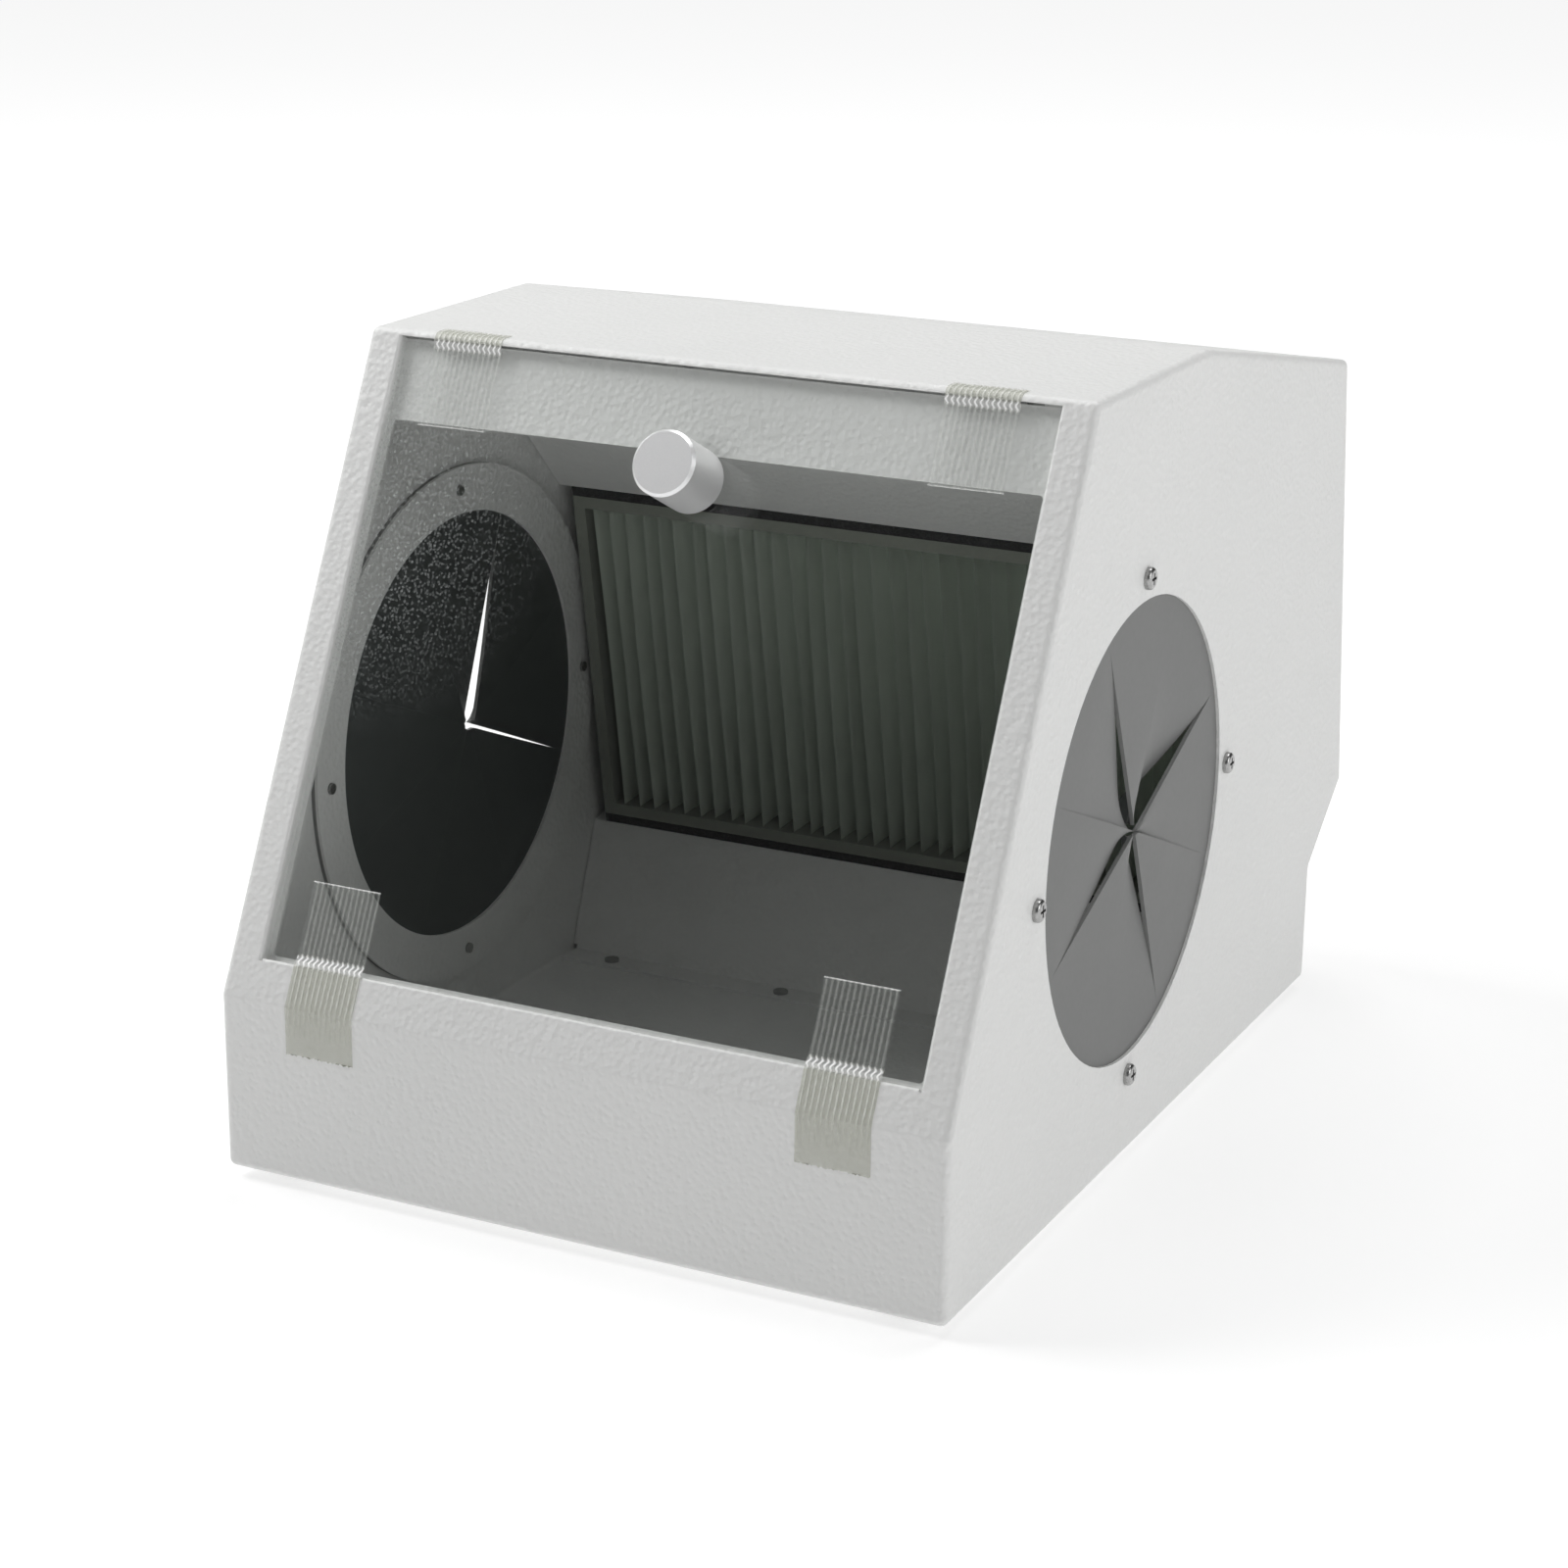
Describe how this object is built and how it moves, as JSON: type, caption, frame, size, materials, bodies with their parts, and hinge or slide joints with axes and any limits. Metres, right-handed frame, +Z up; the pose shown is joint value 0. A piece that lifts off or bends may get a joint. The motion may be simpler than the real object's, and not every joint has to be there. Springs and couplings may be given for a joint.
{
  "type": "sandblast cabinet",
  "caption": "Bench-top sandblast cabinet with a slanted lift-off window, slit rubber arm ports, a pleated filter between baffles and an exhaust fan at the rear.",
  "frame": {"origin": "middle of the cabinet's bounding box at the underside of the feet", "axes": "+Z up, -Y towards the user and the window, +X along the cabinet's width towards the port at the user's right"},
  "size_m": [0.2848, 0.3975, 0.2894],
  "materials": {
    "cabinet_paint": "powder coat with a fine orange peel, satin",
    "glass": "clear and polished",
    "knob_metal": "turned, fine satin",
    "screw_steel": "zinc plated",
    "port_rubber": "matt sheet rubber",
    "washer_rubber": "matt",
    "tape": "fibre-reinforced, translucent",
    "filter_card": "matt",
    "filter_paper": "matt, pleated",
    "foam": "matt closed-cell foam",
    "fan_plastic": "matt",
    "guard_wire": "nickel plated",
    "light_metal": "anodised, satin",
    "light_cover": "frosted",
    "switch_plastic": "glossy",
    "foot_rubber": "matt"
  },
  "bodies": {
    "cabinet": {"left_side_panel": "cabinet_paint", "right_side_panel": "cabinet_paint", "front_apron": "cabinet_paint", "window_surround": "cabinet_paint", "top_panel": "cabinet_paint", "rear_panel": "cabinet_paint", "floor_pan": "cabinet_paint", "window_ledge": "cabinet_paint", "left_rubber_rim": "port_rubber", "right_rubber_rim": "port_rubber", "left_clamp_ring": "cabinet_paint", "right_clamp_ring": "cabinet_paint", "left_port_screws": "screw_steel", "right_port_screws": "screw_steel", "lower_baffle": "cabinet_paint", "upper_baffle": "cabinet_paint", "baffle_rivets": "screw_steel", "filter_seat": "cabinet_paint", "filter_frame": "filter_card", "filter_media": "filter_paper", "filter_gasket": "foam", "fan_housing": "fan_plastic", "fan_guard": "guard_wire", "fan_screws": "screw_steel", "fan_nuts": "screw_steel", "light_channel": "light_metal", "light_diffuser": "light_cover", "switch_housing": "switch_plastic", "power_inlet": "switch_plastic", "inlet_nut": "screw_steel", "feet": "foot_rubber", "foot_screws": "screw_steel"},
    "glass_cover": {"glass_pane": "glass", "knob": "knob_metal", "knob_screw": "screw_steel", "knob_washers": "washer_rubber", "holding_tape": "tape"},
    "fan_rotor": {"fan_rotor": "fan_plastic"},
    "switch_key": {"switch_key": "switch_plastic"},
    "left_flap_1": {"left_flap_1": "port_rubber"},
    "left_flap_2": {"left_flap_2": "port_rubber"},
    "left_flap_3": {"left_flap_3": "port_rubber"},
    "left_flap_4": {"left_flap_4": "port_rubber"},
    "left_flap_5": {"left_flap_5": "port_rubber"},
    "left_flap_6": {"left_flap_6": "port_rubber"},
    "left_flap_7": {"left_flap_7": "port_rubber"},
    "left_flap_8": {"left_flap_8": "port_rubber"},
    "right_flap_1": {"right_flap_1": "port_rubber"},
    "right_flap_2": {"right_flap_2": "port_rubber"},
    "right_flap_3": {"right_flap_3": "port_rubber"},
    "right_flap_4": {"right_flap_4": "port_rubber"},
    "right_flap_5": {"right_flap_5": "port_rubber"},
    "right_flap_6": {"right_flap_6": "port_rubber"},
    "right_flap_7": {"right_flap_7": "port_rubber"},
    "right_flap_8": {"right_flap_8": "port_rubber"}
  },
  "joints": [
    {"name": "glass_lift_off", "type": "slide", "parent": "cabinet", "child": "glass_cover", "axis": [0, -0.8969, 0.4423], "range_m": [0, 0.13]},
    {"name": "fan_spin", "type": "hinge", "parent": "cabinet", "child": "fan_rotor", "pos_m": [0, 0.18749, 0.1689], "axis": [0, 0.9923, 0.124], "continuous": true},
    {"name": "switch_rock", "type": "hinge", "parent": "cabinet", "child": "switch_key", "pos_m": [0.06, 0.16185, 0.0278], "axis": [0, 0, -1], "range_deg": [0, 20]},
    {"name": "left_flap_1_bend", "type": "hinge", "parent": "cabinet", "child": "left_flap_1", "pos_m": [-0.13805, -0.03965, 0.19991], "axis": [0, -1, 0], "range_deg": [-60, 75], "stiffness_Nm_per_rad": 0.02},
    {"name": "left_flap_2_bend", "type": "hinge", "parent": "cabinet", "child": "left_flap_2", "pos_m": [-0.13805, 0.01191, 0.17855], "axis": [0, -0.7071, 0.7071], "range_deg": [-60, 75], "stiffness_Nm_per_rad": 0.02},
    {"name": "left_flap_3_bend", "type": "hinge", "parent": "cabinet", "child": "left_flap_3", "pos_m": [-0.13805, 0.03326, 0.127], "axis": [0, 0, 1], "range_deg": [-60, 75], "stiffness_Nm_per_rad": 0.02},
    {"name": "left_flap_4_bend", "type": "hinge", "parent": "cabinet", "child": "left_flap_4", "pos_m": [-0.13805, 0.01191, 0.07544], "axis": [0, 0.7071, 0.7071], "range_deg": [-60, 75], "stiffness_Nm_per_rad": 0.02},
    {"name": "left_flap_5_bend", "type": "hinge", "parent": "cabinet", "child": "left_flap_5", "pos_m": [-0.13805, -0.03965, 0.05409], "axis": [0, 1, 0], "range_deg": [-60, 75], "stiffness_Nm_per_rad": 0.02},
    {"name": "left_flap_6_bend", "type": "hinge", "parent": "cabinet", "child": "left_flap_6", "pos_m": [-0.13805, -0.0912, 0.07544], "axis": [0, 0.7071, -0.7071], "range_deg": [-60, 75], "stiffness_Nm_per_rad": 0.02},
    {"name": "left_flap_7_bend", "type": "hinge", "parent": "cabinet", "child": "left_flap_7", "pos_m": [-0.13805, -0.11256, 0.127], "axis": [0, 0, -1], "range_deg": [-60, 75], "stiffness_Nm_per_rad": 0.02},
    {"name": "left_flap_8_bend", "type": "hinge", "parent": "cabinet", "child": "left_flap_8", "pos_m": [-0.13805, -0.0912, 0.17855], "axis": [0, -0.7071, -0.7071], "range_deg": [-60, 75], "stiffness_Nm_per_rad": 0.02},
    {"name": "right_flap_1_bend", "type": "hinge", "parent": "cabinet", "child": "right_flap_1", "pos_m": [0.13805, -0.03965, 0.19991], "axis": [0, 1, 0], "range_deg": [-60, 75], "stiffness_Nm_per_rad": 0.02},
    {"name": "right_flap_2_bend", "type": "hinge", "parent": "cabinet", "child": "right_flap_2", "pos_m": [0.13805, 0.01191, 0.17855], "axis": [0, 0.7071, -0.7071], "range_deg": [-60, 75], "stiffness_Nm_per_rad": 0.02},
    {"name": "right_flap_3_bend", "type": "hinge", "parent": "cabinet", "child": "right_flap_3", "pos_m": [0.13805, 0.03326, 0.127], "axis": [0, 0, -1], "range_deg": [-60, 75], "stiffness_Nm_per_rad": 0.02},
    {"name": "right_flap_4_bend", "type": "hinge", "parent": "cabinet", "child": "right_flap_4", "pos_m": [0.13805, 0.01191, 0.07544], "axis": [0, -0.7071, -0.7071], "range_deg": [-60, 75], "stiffness_Nm_per_rad": 0.02},
    {"name": "right_flap_5_bend", "type": "hinge", "parent": "cabinet", "child": "right_flap_5", "pos_m": [0.13805, -0.03965, 0.05409], "axis": [0, -1, 0], "range_deg": [-60, 75], "stiffness_Nm_per_rad": 0.02},
    {"name": "right_flap_6_bend", "type": "hinge", "parent": "cabinet", "child": "right_flap_6", "pos_m": [0.13805, -0.0912, 0.07544], "axis": [0, -0.7071, 0.7071], "range_deg": [-60, 75], "stiffness_Nm_per_rad": 0.02},
    {"name": "right_flap_7_bend", "type": "hinge", "parent": "cabinet", "child": "right_flap_7", "pos_m": [0.13805, -0.11256, 0.127], "axis": [0, 0, 1], "range_deg": [-60, 75], "stiffness_Nm_per_rad": 0.02},
    {"name": "right_flap_8_bend", "type": "hinge", "parent": "cabinet", "child": "right_flap_8", "pos_m": [0.13805, -0.0912, 0.17855], "axis": [0, 0.7071, 0.7071], "range_deg": [-60, 75], "stiffness_Nm_per_rad": 0.02}
  ],
  "couplings": [
    {"joint": "left_flap_2_bend", "follows": "left_flap_1_bend", "ratio": 1},
    {"joint": "left_flap_3_bend", "follows": "left_flap_1_bend", "ratio": 1},
    {"joint": "left_flap_4_bend", "follows": "left_flap_1_bend", "ratio": 1},
    {"joint": "left_flap_5_bend", "follows": "left_flap_1_bend", "ratio": 1},
    {"joint": "left_flap_6_bend", "follows": "left_flap_1_bend", "ratio": 1},
    {"joint": "left_flap_7_bend", "follows": "left_flap_1_bend", "ratio": 1},
    {"joint": "left_flap_8_bend", "follows": "left_flap_1_bend", "ratio": 1},
    {"joint": "right_flap_2_bend", "follows": "right_flap_1_bend", "ratio": 1},
    {"joint": "right_flap_3_bend", "follows": "right_flap_1_bend", "ratio": 1},
    {"joint": "right_flap_4_bend", "follows": "right_flap_1_bend", "ratio": 1},
    {"joint": "right_flap_5_bend", "follows": "right_flap_1_bend", "ratio": 1},
    {"joint": "right_flap_6_bend", "follows": "right_flap_1_bend", "ratio": 1},
    {"joint": "right_flap_7_bend", "follows": "right_flap_1_bend", "ratio": 1},
    {"joint": "right_flap_8_bend", "follows": "right_flap_1_bend", "ratio": 1}
  ]
}
